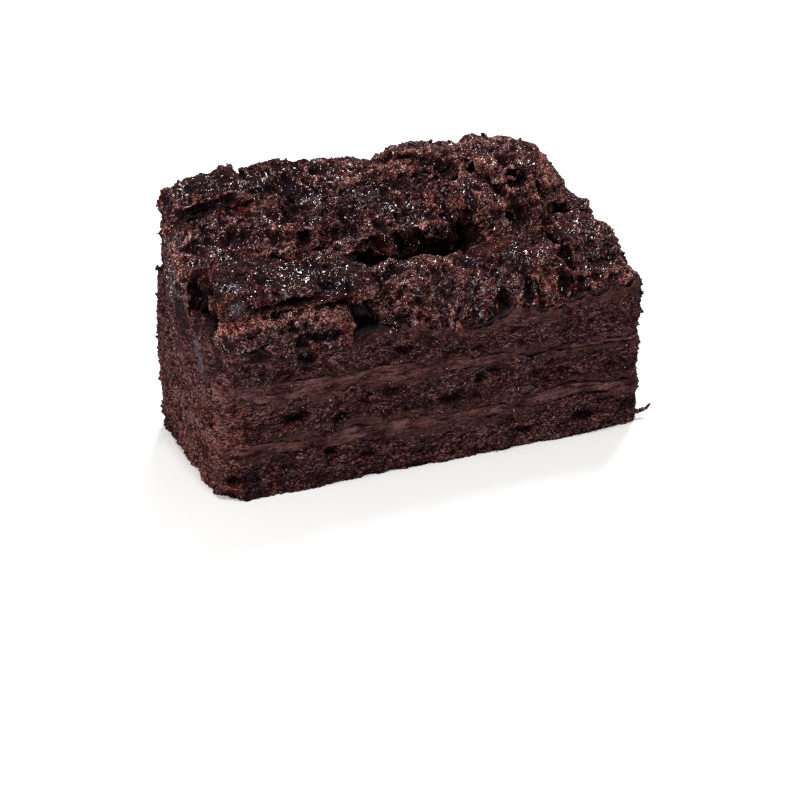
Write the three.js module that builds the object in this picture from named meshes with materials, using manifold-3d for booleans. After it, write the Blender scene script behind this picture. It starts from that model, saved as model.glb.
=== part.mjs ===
// A rectangular slice of chocolate layer cake: three dark crumb layers, two fudge fillings between
// them, a thin glaze bed on top and a crown of torn cake chunks bedded in the glaze.
// Millimetres, +Z up. The slice rests on z = 0, its long side runs along X and its cut front
// faces -Y. The origin is at the middle of the underside.
import * as THREE from "three";
import { ImprovedNoise } from "three/addons/math/ImprovedNoise.js";
import { mergeVertices } from "three/addons/utils/BufferGeometryUtils.js";
import Module from "manifold-3d";

const wasm = await Module();
wasm.setup();
const noise = new ImprovedNoise();
const UPRIGHT = new THREE.Vector3(0, 0, 1);

// Plan of the slice
const LENGTH = 102.6;
const WIDTH = 44.8;
const CORNER_RADIUS = 4.2;
const OUTLINE_STEP = 2.6;
const OUTLINE_WAVE = 0.35;
const OUTLINE_WAVE_LENGTH = 17;
const SPINE_HALF = (LENGTH - WIDTH) / 2;
const SPINE_STEPS = 12;

// Gap that keeps neighbouring pieces apart
const GAP = 0.3;
// Reach past the slice's side of the solid that trims the chunks' undersides
const CUT_BRIM = 4;

// Heights of the layers at the cut faces
const LOWER_FUDGE_FROM = 9.2;
const LOWER_FUDGE_THICKNESS = 2.1;
const UPPER_FUDGE_FROM = 22.5;
const UPPER_FUDGE_LEFT_THICKNESS = 4.2;
const UPPER_FUDGE_RIGHT_THICKNESS = 0.9;
const UPPER_FUDGE_THINS_FROM = -14;
const UPPER_FUDGE_THINS_TO = 30;
const TOP_LAYER_TO = 33.2;
const GLAZE_BED_THICKNESS = 1.4;

// Craggy relief of the torn crumb, as height and wave length of two sizes of lump
const CAKE_LUMP = 0.95;
const CAKE_LUMP_LENGTH = 7.5;
const CAKE_PIT = 0.75;
const CAKE_PIT_LENGTH = 3.4;
const FUDGE_LUMP = 0.35;
const CHUNK_LUMP = 1.5;
const CHUNK_LUMP_LENGTH = 8.5;
const CHUNK_PIT = 0.9;
const CHUNK_PIT_LENGTH = 3.9;
const CHUNK_FACET = 4.6;
const CAKE_ROW = 2.6;

// Colours, roughness and metalness of the three materials
const cakeMaterial = new THREE.MeshStandardMaterial({ color: 0x32201c, roughness: 0.85, metalness: 0 });
const fudgeMaterial = new THREE.MeshStandardMaterial({ color: 0x472e29, roughness: 0.5, metalness: 0 });
const glazeMaterial = new THREE.MeshStandardMaterial({ color: 0x1d1112, roughness: 0.25, metalness: 0 });

// Torn chunks of the crown. left, right, front, back and high bound the piece before its relief,
// and low does too where it lies on another chunk. square sets how boxy it is, turn turns it
// about its upright axis in degrees, and the rest are distances in millimetres: frontDrop,
// rightDrop and leftDrop lower that side of the top, rightTaper and leftTaper bring the top of
// that end inwards, frontLean sets the top of the front face back, undercut lifts the front of
// the underside and leftSkew brings the back of the left end inwards.
const chunks = [
  { name: "chunk_front_left_lower", left: -52, right: -20.8, front: -23.4, back: -3, high: 43.8,
    square: 14, leftSkew: 6 },
  { name: "chunk_front_left_upper", left: -51.8, right: -10.6, front: -21.8, back: -1.2, low: 42.6, high: 51,
    square: 9, rightTaper: 4, rightDrop: 5, leftSkew: 6, turn: 1 },
  { name: "chunk_front_middle", left: -12, right: 9, front: -24, back: -7, high: 45.8,
    square: 6, frontLean: 4, rightDrop: 1, turn: 2 },
  { name: "chunk_front_right_shiny", left: 7, right: 15.4, front: -24, back: -5, high: 43.8,
    square: 6, frontLean: 5, turn: -3 },
  { name: "chunk_front_right_ridge", left: 13.6, right: 26, front: -24.8, back: -5, high: 46,
    square: 6, frontLean: 8, turn: 2 },
  { name: "chunk_front_right_lobe", left: 24.6, right: 35, front: -25, back: -3, high: 44.6,
    square: 6, frontLean: 8, turn: -3 },
  { name: "chunk_right_front_low", left: 33.5, right: 52.8, front: -24, back: -8, high: 39.6,
    square: 8, frontLean: 4, rightTaper: 3 },
  { name: "chunk_right_end", left: 32, right: 51.6, front: -20.5, back: 4, high: 45.6,
    square: 6, frontLean: 6, rightTaper: 4 },
  { name: "chunk_middle_slab", left: -22.5, right: 17.4, front: -3, back: 13.5, high: 65,
    square: 8, frontDrop: 14.5, undercut: 25, rightTaper: 3, rightDrop: 5, leftDrop: 6 },
  { name: "chunk_left_middle", left: -52.4, right: -25, front: -5, back: 13, high: 60,
    square: 11, frontDrop: 8, leftDrop: 5, turn: -3 },
  { name: "chunk_back_left", left: -51, right: -30.6, front: 8, back: 22.6, high: 62.2,
    square: 10, leftDrop: 3, leftTaper: 2 },
  { name: "chunk_back_middle_left", left: -30.4, right: -15.5, front: -1, back: 23, high: 62,
    square: 12, frontDrop: 8, rightDrop: 1.6 },
  { name: "chunk_back_middle_right", left: -17, right: 2.6, front: 10, back: 23, high: 61,
    square: 9, rightDrop: 3 },
  { name: "chunk_wall_left", left: 15.6, right: 25.6, front: -8, back: 12, high: 57,
    square: 6, frontLean: 3, frontDrop: 4 },
  { name: "chunk_wall_right", left: 24.4, right: 38, front: -8, back: 8, high: 55.4,
    square: 6, frontLean: 4, frontDrop: 3, rightTaper: 3 },
  { name: "chunk_right_back_small", left: 36, right: 52, front: -1, back: 17, high: 46.2,
    square: 6, rightTaper: 3 },
  { name: "chunk_back_right_of_middle", left: 0.4, right: 24.2, front: 9, back: 22, high: 60.8,
    square: 8, rightDrop: 1, leftDrop: 1 },
  { name: "chunk_back_right_tall", left: 23, right: 53, front: 2, back: 23, high: 60,
    square: 10, rightTaper: 12, rightDrop: 4 },
];
const CHUNK_LOW = 22;
const CHUNK_SHAPING = {
  low: CHUNK_LOW,
  turn: 0,
  frontDrop: 0,
  rightDrop: 0,
  leftDrop: 0,
  rightTaper: 0,
  leftTaper: 0,
  frontLean: 0,
  undercut: 0,
  leftSkew: 0,
};

// A smooth bump of height 1 around a place along the slice
function swell(x, centre, width) {
  return Math.exp(-(((x - centre) / width) ** 2));
}

// Signed relief of two sizes of lump at a point
function lumps(point, height, length, pitHeight, pitLength) {
  const large = noise.noise(point.x / length, point.y / length, point.z / length + 0.37);
  const small = noise.noise(point.x / pitLength + 9.1, point.y / pitLength + 4.7, point.z / pitLength);
  return height * large + pitHeight * small;
}

// Underside of the lower fudge filling
function lowerFudgeLow(x) {
  return LOWER_FUDGE_FROM + 2.4 * swell(x, -50, 16) + 1.3 * swell(x, 34, 7) + 0.9 * swell(x, 52, 10);
}

// Top of the lower fudge filling, thick left of the middle and thin at the right end
function lowerFudgeHigh(x) {
  const bulge = 1.9 * swell(x, -14, 14) + 1.0 * swell(x, 28, 4) - 0.9 * swell(x, 52, 9);
  return lowerFudgeLow(x) + LOWER_FUDGE_THICKNESS + bulge;
}

// Underside of the upper fudge filling
function upperFudgeLow(x) {
  return UPPER_FUDGE_FROM + 1.5 * swell(x, -50, 10) - 1.0 * swell(x, 50, 7);
}

// Top of the upper fudge filling, which thins from the left to the right
function upperFudgeHigh(x) {
  const thinning = THREE.MathUtils.smoothstep(x, UPPER_FUDGE_THINS_FROM, UPPER_FUDGE_THINS_TO);
  return upperFudgeLow(x) + THREE.MathUtils.lerp(UPPER_FUDGE_LEFT_THICKNESS, UPPER_FUDGE_RIGHT_THICKNESS, thinning);
}

// Top of the third cake layer, which sags under the chunks right of the middle
function topLayerHigh(x) {
  const sag = 3.0 * swell(x, 8, 10) + 2.2 * swell(x, 28, 6);
  return TOP_LAYER_TO + 3.3 * swell(x, -52, 10) - sag + 1.2 * swell(x, 52, 8);
}

// Top of the glaze bed that the chunks sit in
function bedHigh(x) {
  return topLayerHigh(x) + GAP + GLAZE_BED_THICKNESS;
}

// Outward direction of the slice's side at a point of its outline
function outwards(x, y) {
  const innerX = LENGTH / 2 - CORNER_RADIUS;
  const innerY = WIDTH / 2 - CORNER_RADIUS;
  const away = new THREE.Vector2(x, y);
  away.x -= THREE.MathUtils.clamp(x, -innerX, innerX);
  away.y -= THREE.MathUtils.clamp(y, -innerY, innerY);
  return away.normalize();
}

// Outline of the slice: a rounded rectangle with the slight wave of a knife cut
function sliceOutline() {
  const halfX = LENGTH / 2;
  const halfY = WIDTH / 2;
  const r = CORNER_RADIUS;
  const plain = new THREE.Shape();
  plain.moveTo(-halfX + r, -halfY);
  plain.lineTo(halfX - r, -halfY);
  plain.absarc(halfX - r, -halfY + r, r, -Math.PI / 2, 0, false);
  plain.lineTo(halfX, halfY - r);
  plain.absarc(halfX - r, halfY - r, r, 0, Math.PI / 2, false);
  plain.lineTo(-halfX + r, halfY);
  plain.absarc(-halfX + r, halfY - r, r, Math.PI / 2, Math.PI, false);
  plain.lineTo(-halfX, -halfY + r);
  plain.absarc(-halfX + r, -halfY + r, r, Math.PI, Math.PI * 1.5, false);
  const count = Math.round(plain.getLength() / OUTLINE_STEP);
  const points = plain.getSpacedPoints(count).slice(0, count);
  for (const point of points) {
    const wave = noise.noise(point.x / OUTLINE_WAVE_LENGTH, point.y / OUTLINE_WAVE_LENGTH, 0.5);
    point.addScaledVector(outwards(point.x, point.y), OUTLINE_WAVE * wave);
  }
  return points;
}

// Nearest of the points along the middle of a layer's top and underside
function spineIndex(x) {
  const along = (THREE.MathUtils.clamp(x, -SPINE_HALF, SPINE_HALF) + SPINE_HALF) / (2 * SPINE_HALF);
  return Math.round(along * SPINE_STEPS);
}

// Level rings for a layer's side, from its underside to its top
function sideRings(rows) {
  return Array.from({ length: rows + 1 }, (_, row) => ({ up: row / rows, spread: 0 }));
}

// One layer over the whole slice between two height functions. Its side is a stack of rings of
// points crumbled by relief, and its top and underside run from the rim to a spine of points.
function layerGeometry(low, high, rings, relief) {
  const outline = sliceOutline();
  const count = outline.length;
  const positions = [];
  const faces = [];
  const point = new THREE.Vector3();
  for (const ring of rings) {
    for (const spot of outline) {
      const away = outwards(spot.x, spot.y);
      point.set(spot.x, spot.y, THREE.MathUtils.lerp(low(spot.x), high(spot.x), ring.up));
      const push = relief(point) + ring.spread;
      positions.push(point.x + away.x * push, point.y + away.y * push, point.z);
    }
  }
  const lowSpine = positions.length / 3;
  const highSpine = lowSpine + SPINE_STEPS + 1;
  for (const height of [low, high]) {
    for (let k = 0; k <= SPINE_STEPS; k += 1) {
      const x = THREE.MathUtils.lerp(-SPINE_HALF, SPINE_HALF, k / SPINE_STEPS);
      positions.push(x, 0, height(x));
    }
  }
  const topRing = (rings.length - 1) * count;
  for (let i = 0; i < count; i += 1) {
    const next = (i + 1) % count;
    for (let row = 0; row < topRing; row += count) {
      faces.push(row + i, row + next, row + count + next);
      faces.push(row + i, row + count + next, row + count + i);
    }
    const here = spineIndex(outline[i].x);
    const there = spineIndex(outline[next].x);
    faces.push(next, i, lowSpine + here);
    faces.push(topRing + i, topRing + next, highSpine + here);
    if (there !== here) {
      faces.push(next, lowSpine + here, lowSpine + there);
      faces.push(topRing + next, highSpine + there, highSpine + here);
    }
  }
  const geometry = new THREE.BufferGeometry();
  geometry.setAttribute("position", new THREE.BufferAttribute(new Float32Array(positions), 3));
  geometry.setIndex(new THREE.BufferAttribute(new Uint32Array(faces), 1));
  return geometry;
}

// Relief of a cake layer's cut side
function cakeRelief(point) {
  return lumps(point, CAKE_LUMP, CAKE_LUMP_LENGTH, CAKE_PIT, CAKE_PIT_LENGTH);
}

// Relief of a fudge filling's side, smoother than the crumb
function fudgeRelief(point) {
  return 0.6 * cakeRelief(point) + FUDGE_LUMP;
}

// Leave only the positions, with shared corners merged into one vertex each
function weld(geometry) {
  geometry.deleteAttribute("normal");
  geometry.deleteAttribute("uv");
  return mergeVertices(geometry, 1e-4);
}

// Number of facets along one side of a chunk
function facets(size) {
  return Math.max(3, Math.round(size / CHUNK_FACET));
}

// A torn chunk: a rounded box with slanted sides and deep lumpy relief, grown by a margin
function chunkGeometry(chunk, grow) {
  const shape = { ...CHUNK_SHAPING, ...chunk };
  const size = new THREE.Vector3(shape.right - shape.left, shape.back - shape.front, shape.high - shape.low);
  const middle = new THREE.Vector3(shape.left, shape.front, shape.low).addScaledVector(size, 0.5);
  const geometry = weld(new THREE.BoxGeometry(2, 2, 2, facets(size.x), facets(size.y), facets(size.z)));
  const positions = geometry.attributes.position;
  const point = new THREE.Vector3();
  const away = new THREE.Vector3();
  const turn = THREE.MathUtils.degToRad(shape.turn);
  for (let i = 0; i < positions.count; i += 1) {
    point.fromBufferAttribute(positions, i);
    const power = (value) => Math.abs(value) ** shape.square;
    const roundness = (power(point.x) + power(point.y) + power(point.z)) ** (1 / shape.square);
    point.divideScalar(roundness);
    const slope = (value) => Math.sign(value) * Math.abs(value) ** (shape.square - 1);
    away.set(slope(point.x) / size.x, slope(point.y) / size.y, slope(point.z) / size.z).normalize();
    const across = (point.x + 1) / 2;
    const deep = (point.y + 1) / 2;
    const up = (point.z + 1) / 2;
    point.multiply(size).multiplyScalar(0.5).add(middle);
    point.x += (1 - across) * (deep * shape.leftSkew + up * shape.leftTaper) - across * up * shape.rightTaper;
    point.y += (1 - deep) * up * shape.frontLean;
    const drop = (1 - deep) * shape.frontDrop + across * shape.rightDrop + (1 - across) * shape.leftDrop;
    point.z += (1 - up) * (1 - deep) * shape.undercut - up * drop;
    const relief = lumps(point, CHUNK_LUMP, CHUNK_LUMP_LENGTH, CHUNK_PIT, CHUNK_PIT_LENGTH);
    point.addScaledVector(away, relief + grow);
    point.sub(middle).applyAxisAngle(UPRIGHT, turn).add(middle);
    positions.setXYZ(i, point.x, point.y, point.z);
  }
  return geometry;
}

// Closed triangle mesh as a solid that can be cut
function toSolid(geometry) {
  const mesh = new wasm.Mesh({
    numProp: 3,
    vertProperties: new Float32Array(geometry.attributes.position.array),
    triVerts: new Uint32Array(geometry.index.array),
  });
  return new wasm.Manifold(mesh);
}

// The largest of the bodies that a cut leaves
function largestBody(solid) {
  const bodies = solid.decompose();
  return bodies.reduce((best, body) => (body.volume() > best.volume() ? body : best));
}

// Solid as a geometry for a mesh
function toGeometry(solid) {
  const mesh = solid.getMesh();
  const geometry = new THREE.BufferGeometry();
  geometry.setAttribute("position", new THREE.BufferAttribute(new Float32Array(mesh.vertProperties), 3));
  geometry.setIndex(new THREE.BufferAttribute(new Uint32Array(mesh.triVerts), 1));
  return geometry;
}

// Named mesh of one piece
function piece(name, geometry, material) {
  geometry.computeVertexNormals();
  const mesh = new THREE.Mesh(geometry, material);
  mesh.name = name;
  return mesh;
}

// Number of rows of facets up a cake layer's side
function rowsBetween(low, high) {
  return Math.round((high - low) / CAKE_ROW);
}

// The stack of layers from the lowest crumb to the glaze bed
function addLayers(group) {
  const raised = (height) => (x) => height(x) + GAP;
  const lowered = (height) => (x) => height(x) - GAP;
  const bottomRings = sideRings(rowsBetween(0, LOWER_FUDGE_FROM));
  const middleRings = sideRings(rowsBetween(LOWER_FUDGE_FROM + LOWER_FUDGE_THICKNESS, UPPER_FUDGE_FROM));
  const topRings = sideRings(rowsBetween(UPPER_FUDGE_FROM, TOP_LAYER_TO));
  const bandRings = sideRings(1);
  const bottom = layerGeometry(() => 0, lowered(lowerFudgeLow), bottomRings, cakeRelief);
  const lowerFudge = layerGeometry(lowerFudgeLow, lowerFudgeHigh, bandRings, fudgeRelief);
  const middle = layerGeometry(raised(lowerFudgeHigh), lowered(upperFudgeLow), middleRings, cakeRelief);
  const upperFudge = layerGeometry(upperFudgeLow, upperFudgeHigh, bandRings, fudgeRelief);
  const top = layerGeometry(raised(upperFudgeHigh), topLayerHigh, topRings, cakeRelief);
  const bed = layerGeometry(raised(topLayerHigh), bedHigh, bandRings, fudgeRelief);
  group.add(piece("cake_layer_bottom", bottom, cakeMaterial));
  group.add(piece("fudge_filling_lower", lowerFudge, fudgeMaterial));
  group.add(piece("cake_layer_middle", middle, cakeMaterial));
  group.add(piece("fudge_filling_upper", upperFudge, fudgeMaterial));
  group.add(piece("cake_layer_top", top, cakeMaterial));
  group.add(piece("glaze_bed", bed, glazeMaterial));
}

// The crown of torn chunks, each cut to sit on the glaze bed and against the chunks before it
function addChunks(group) {
  const brimRings = [
    { up: 0, spread: CUT_BRIM },
    { up: 1, spread: CUT_BRIM },
    { up: 1, spread: 0 },
  ];
  let taken = toSolid(layerGeometry(() => 0, (x) => bedHigh(x) + GAP, brimRings, fudgeRelief));
  for (const chunk of chunks) {
    const whole = toSolid(chunkGeometry(chunk, 0));
    const fitted = largestBody(whole.subtract(taken));
    group.add(piece(chunk.name, toGeometry(fitted), cakeMaterial));
    taken = taken.add(toSolid(chunkGeometry(chunk, GAP)));
  }
}

const cake = new THREE.Group();
cake.name = "chocolate_cake_slice";
addLayers(cake);
addChunks(cake);
const bounds = new THREE.Box3().setFromObject(cake);
cake.position.set(-(bounds.min.x + bounds.max.x) / 2, -(bounds.min.y + bounds.max.y) / 2, -bounds.min.z);

export default cake;
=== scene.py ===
import itertools
import math

import bmesh
import bpy
import numpy as np
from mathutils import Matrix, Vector
from mathutils.bvhtree import BVHTree


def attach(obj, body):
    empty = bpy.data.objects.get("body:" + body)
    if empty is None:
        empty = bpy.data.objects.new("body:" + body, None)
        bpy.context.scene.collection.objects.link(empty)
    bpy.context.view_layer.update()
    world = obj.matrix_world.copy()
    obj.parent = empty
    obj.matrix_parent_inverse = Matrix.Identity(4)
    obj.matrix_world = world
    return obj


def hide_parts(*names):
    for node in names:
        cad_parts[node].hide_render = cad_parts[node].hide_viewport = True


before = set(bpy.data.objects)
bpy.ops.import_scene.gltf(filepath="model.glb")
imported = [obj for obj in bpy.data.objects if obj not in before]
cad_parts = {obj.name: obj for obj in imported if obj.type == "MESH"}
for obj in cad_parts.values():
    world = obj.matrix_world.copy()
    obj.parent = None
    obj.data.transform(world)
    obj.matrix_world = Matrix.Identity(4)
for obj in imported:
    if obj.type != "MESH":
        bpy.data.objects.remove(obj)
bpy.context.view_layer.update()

# Finished surfaces that crumbs are scattered on: points, faces and how many crumbs each point draws
surfaces = []

# Everything below is worked out in millimetres and written to the meshes in metres.
MM = 0.001

# The slice, with the sizes of the solid model
LENGTH = 102.6
WIDTH = 44.8
CORNER_RADIUS = 4.2
SHIFT = np.array([0.161, 0.036, 0.0])
GAP = 0.3
BED_HEIGHT = 1.4

# Tops and undersides are closed to a row of points that ends this far from the middle
SPINE_END = (LENGTH - WIDTH) / 2
SPINE_COUNT = 13

# Fineness of the surfaces
CHUNK_VOXEL = 0.34
WALL_STEP = 0.36
LIP_STEP = 0.45
BED_ROWS = 44
BED_WALL_ROWS = 5
LIP_ROWS = 9

# How far away another chunk still counts as touching, and how far the solids still hide the sky; both
# darken the crumb's colour as painted shade
TOUCH_REACH = 2.0
SHADE_REACH = 14.0

# Pores of the crumb: cell size in millimetres, share of the cells that have one, and depth
PORES = [(4.4, 0.12, 1.5), (2.3, 0.34, 1.0), (1.3, 0.6, 0.6), (0.9, 0.6, 0.4)]
PORE_SEED = 300
GRAIN_CELL = 0.8
GRAIN_HEIGHT = 0.27
GRAIN_SEED = 340

# Limits of a chunk's relief in millimetres, how much plainer each millimetre of a crest makes it,
# and how deep a chunk may sink into the glaze bed
RELIEF_LOW = -3.0
RELIEF_HIGH = 1.1
CREST_CALM = 0.3 / 2.6
BED_SINK = 1.3

# Corners and faces of the smallest crumbs
OCTAHEDRON_POINTS = np.array([
    (1.0, 0.0, 0.0), (-1.0, 0.0, 0.0), (0.0, 1.0, 0.0), (0.0, -1.0, 0.0), (0.0, 0.0, 1.0), (0.0, 0.0, -1.0),
])
OCTAHEDRON_FACES = np.array([
    (0, 2, 4), (2, 1, 4), (1, 3, 4), (3, 0, 4), (2, 0, 5), (1, 2, 5), (3, 1, 5), (0, 3, 5),
])

# Crumbs that hang from the lower right corner: place and size in millimetres
CORNER_CRUMBS = [
    (51.3, -20.2, 1.2, 2.0),
    (52.0, -20.3, 1.3, 1.6),
    (52.7, -20.4, 1.5, 1.5),
    (53.3, -20.5, 1.8, 1.3),
    (53.8, -20.6, 2.3, 1.2),
    (54.1, -20.7, 2.8, 1.0),
]

# Camera of the photo
CAMERA_AZIMUTH = -23.2
CAMERA_ELEVATION = 27.0
CAMERA_DISTANCE = 702.5
CAMERA_TARGET = np.array([3.8, 8.5, 0.5])
CAMERA_LENS = 135.0

HASH_X = 374761393
HASH_Y = 668265263
HASH_Z = 2147483647
HASH_MIX = 1274126177
HASH_MASK = 0xFFFFFFFF


# Numbers from 0 to 1 that depend only on whole cell numbers and a seed
def hashed(ix, iy, iz, seed):
    h = (ix * HASH_X + iy * HASH_Y + iz * HASH_Z + seed * HASH_MIX) & HASH_MASK
    h = ((h ^ (h >> 13)) * HASH_MIX) & HASH_MASK
    h = ((h ^ (h >> 15)) * HASH_X) & HASH_MASK
    return ((h ^ (h >> 16)) & 0xFFFFFF) / float(0x1000000)


# Smooth noise from -1 to 1 at points, with lumps about as wide as length
def smooth_noise(points, length, seed):
    q = points / length + 100.5
    cell = np.floor(q).astype(np.int64)
    f = q - cell
    f = f * f * f * (f * (f * 6.0 - 15.0) + 10.0)
    total = np.zeros(len(points))
    for corner in itertools.product((0, 1), repeat=3):
        weight = np.where(corner, f, 1.0 - f).prod(axis=1)
        total += weight * hashed(*(cell + corner).T, seed)
    return total * 2.0 - 1.0


# Distance to the nearest scattered point in cells of the given size, as a share of that size, and a
# random number of that point
def cell_noise(points, length, seed):
    q = points / length + 100.5
    cell = np.floor(q).astype(np.int64)
    nearest = np.full(len(points), 9.0)
    tag = np.zeros(len(points))
    for corner in itertools.product((-1, 0, 1), repeat=3):
        spot = (cell + corner).T
        away = [spot[axis] + hashed(*spot, seed + axis) - q[:, axis] for axis in range(3)]
        d = away[0] ** 2 + away[1] ** 2 + away[2] ** 2
        closer = d < nearest
        nearest = np.where(closer, d, nearest)
        tag = np.where(closer, hashed(*spot, seed + 3), tag)
    return np.sqrt(nearest), tag


# A smooth step from 0 to 1 between two values
def step(low, high, value):
    t = np.clip((value - low) / (high - low), 0.0, 1.0)
    return t * t * (3.0 - 2.0 * t)


# A smooth bump of height 1 around a place along the slice
def swell(x, centre, width):
    return np.exp(-(((x - centre) / width) ** 2))


# Heights of the layers, as in the solid model
def floor_level(x):
    return 0.0 * x


def lower_fudge_low(x):
    return 9.2 + 2.4 * swell(x, -50, 16) + 1.3 * swell(x, 34, 7) + 0.9 * swell(x, 52, 10)


def lower_fudge_high(x):
    bulge = 1.9 * swell(x, -14, 14) + 1.0 * swell(x, 28, 4) - 0.9 * swell(x, 52, 9)
    return lower_fudge_low(x) + 2.1 + bulge


def upper_fudge_low(x):
    return 22.5 + 1.5 * swell(x, -50, 10) - 1.0 * swell(x, 50, 7)


def upper_fudge_high(x):
    return upper_fudge_low(x) + 4.2 - 3.3 * step(-14, 30, x)


def top_layer_high(x):
    sag = 3.0 * swell(x, 8, 10) + 2.2 * swell(x, 28, 6)
    return 33.2 + 3.3 * swell(x, -52, 10) - sag + 1.2 * swell(x, 52, 8)


def bed_high(x):
    return top_layer_high(x) + GAP + BED_HEIGHT


# Points moved about a little, so that hollows and grains get ragged outlines
def warped(points, length, reach, seed):
    wander = [smooth_noise(points, length, seed + axis) for axis in range(3)]
    return points + reach * np.stack(wander, axis=1)


# Open pores at points: how deep the deepest is, in millimetres. Stretch makes them wide and low.
def pore_depth(points, stretch, share):
    ragged = warped(points, 1.5, 0.75, PORE_SEED) * np.array([1.0 / stretch, 1.0 / stretch, 1.0])
    depth = np.zeros(len(points))
    for k, (cell, often, deep) in enumerate(PORES):
        away, tag = cell_noise(ragged, cell, PORE_SEED + 10 * k)
        depth = np.maximum(depth, deep * step(0.52, 0.16, away) * (tag < often * share))
    return depth


# Rounded grains of crumb at points: height in millimetres and a random number for each grain
def grain_relief(points):
    away, tag = cell_noise(warped(points, 0.9, 0.25, GRAIN_SEED), GRAIN_CELL, GRAIN_SEED + 5)
    height = GRAIN_HEIGHT * (0.55 - (away / 0.75) ** 2)
    fine = 0.15 * smooth_noise(points, 0.55, GRAIN_SEED + 9)
    return np.maximum(height, -0.75 * GRAIN_HEIGHT) + fine, tag


# Mesh object in metres from points in millimetres, with a number for each point where given
def make_piece(name, points, faces, attributes, material, node, smooth=True):
    mesh = bpy.data.meshes.new(name)
    points = (np.asarray(points) * MM).astype(np.float32)
    faces = np.asarray(faces, dtype=np.int32)
    corners = faces.shape[1]
    mesh.vertices.add(len(points))
    mesh.vertices.foreach_set("co", points.ravel())
    mesh.loops.add(faces.size)
    mesh.loops.foreach_set("vertex_index", faces.ravel())
    mesh.polygons.add(len(faces))
    mesh.polygons.foreach_set("loop_start", np.arange(0, faces.size, corners, dtype=np.int32))
    mesh.update(calc_edges=True)
    mesh.validate()
    mesh.polygons.foreach_set("use_smooth", np.full(len(mesh.polygons), smooth))
    for key, values in attributes.items():
        layer = mesh.attributes.new(key, "FLOAT", "POINT")
        layer.data.foreach_set("value", np.asarray(values, dtype=np.float32))
    mesh.materials.append(material)
    piece = bpy.data.objects.new(name, mesh)
    bpy.context.scene.collection.objects.link(piece)
    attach(piece, "root")
    if node:
        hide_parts(node)
    return piece


# Points and faces of a mesh, in millimetres
def mesh_arrays(mesh, scale):
    points = np.empty(len(mesh.vertices) * 3, np.float32)
    mesh.vertices.foreach_get("co", points)
    mesh.calc_loop_triangles()
    faces = np.empty(len(mesh.loop_triangles) * 3, np.int32)
    mesh.loop_triangles.foreach_get("vertices", faces)
    return points.reshape(-1, 3).astype(float) * scale, faces.reshape(-1, 3)


# Outward direction at each point of a triangle mesh
def point_normals(points, faces):
    a = points[faces[:, 0]]
    cross = np.cross(points[faces[:, 1]] - a, points[faces[:, 2]] - a)
    total = np.empty_like(points)
    for axis in range(3):
        weight = np.repeat(cross[:, axis], 3)
        total[:, axis] = np.bincount(faces.ravel(), weights=weight, minlength=len(points))
    length = np.linalg.norm(total, axis=1, keepdims=True)
    return total / np.maximum(length, 1e-9)


# How far points stand out from their surroundings, in millimetres: above 0 on ridges, below in valleys.
# One list of numbers for each count of rounds, which sets how wide the surroundings are.
def standing_out(points, faces, normals, rounds):
    smoothed = points
    count = np.bincount(faces.ravel(), minlength=len(points)) * 2.0
    results = []
    for done in range(1, max(rounds) + 1):
        total = np.empty_like(points)
        for axis in range(3):
            value = smoothed[:, axis][faces]
            others = value.sum(axis=1, keepdims=True) - value
            total[:, axis] = np.bincount(faces.ravel(), weights=others.ravel(), minlength=len(points))
        smoothed = total / np.maximum(count, 1.0)[:, None]
        if done in rounds:
            results.append(((points - smoothed) * normals).sum(axis=1))
    return results


# Even, fine mesh around a coarse one, its facets smoothed away
def fine_mesh(points, faces, voxel, smoothing):
    mesh = bpy.data.meshes.new("coarse")
    mesh.from_pydata([tuple(p) for p in points], [], [tuple(int(i) for i in f) for f in faces])
    coarse = bpy.data.objects.new("coarse", mesh)
    bpy.context.scene.collection.objects.link(coarse)
    remesh = coarse.modifiers.new("remesh", "REMESH")
    remesh.mode = "VOXEL"
    remesh.voxel_size = voxel
    smooth = coarse.modifiers.new("smooth", "SMOOTH")
    smooth.factor = 0.5
    smooth.iterations = smoothing
    graph = bpy.context.evaluated_depsgraph_get()
    made = coarse.evaluated_get(graph).to_mesh()
    result = mesh_arrays(made, 1.0)
    coarse.evaluated_get(graph).to_mesh_clear()
    bpy.data.objects.remove(coarse)
    bpy.data.meshes.remove(mesh)
    return result


# Shader helpers. They find the node tree, where it isn't given, as the owner of a socket.
def link(a, b):
    a.id_data.links.new(a, b)


def new_node(tree, kind, **values):
    node = tree.nodes.new(kind)
    for key, value in values.items():
        setattr(node, key, value)
    return node


def attribute(tree, name):
    node = new_node(tree, "ShaderNodeAttribute", attribute_name=name)
    return node.outputs["Fac"]


def set_inputs(node, values):
    for name, value in values.items():
        node.inputs[name].default_value = value


def noise_texture(vector, scale, detail=4.0, roughness=0.6, distortion=0.0):
    node = new_node(vector.id_data, "ShaderNodeTexNoise")
    set_inputs(node, {"Scale": scale, "Detail": detail, "Roughness": roughness, "Distortion": distortion})
    link(vector, node.inputs["Vector"])
    return node.outputs["Fac"]


def voronoi(vector, scale):
    node = new_node(vector.id_data, "ShaderNodeTexVoronoi")
    set_inputs(node, {"Scale": scale})
    link(vector, node.inputs["Vector"])
    return node.outputs["Distance"]


def calculate(operation, a, b):
    node = new_node(a.id_data, "ShaderNodeMath", operation=operation)
    link(a, node.inputs[0])
    if isinstance(b, float):
        node.inputs[1].default_value = b
    else:
        link(b, node.inputs[1])
    return node.outputs[0]


def remap(value, low, high, to_low, to_high):
    node = new_node(value.id_data, "ShaderNodeMapRange", clamp=True)
    link(value, node.inputs["Value"])
    set_inputs(node, {"From Min": low, "From Max": high, "To Min": to_low, "To Max": to_high})
    return node.outputs["Result"]


# The sum of several values, each spread from one range to another
def spread_sum(first, *rest):
    total = remap(*first)
    for part in rest:
        total = calculate("ADD", total, remap(*part))
    return total


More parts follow.
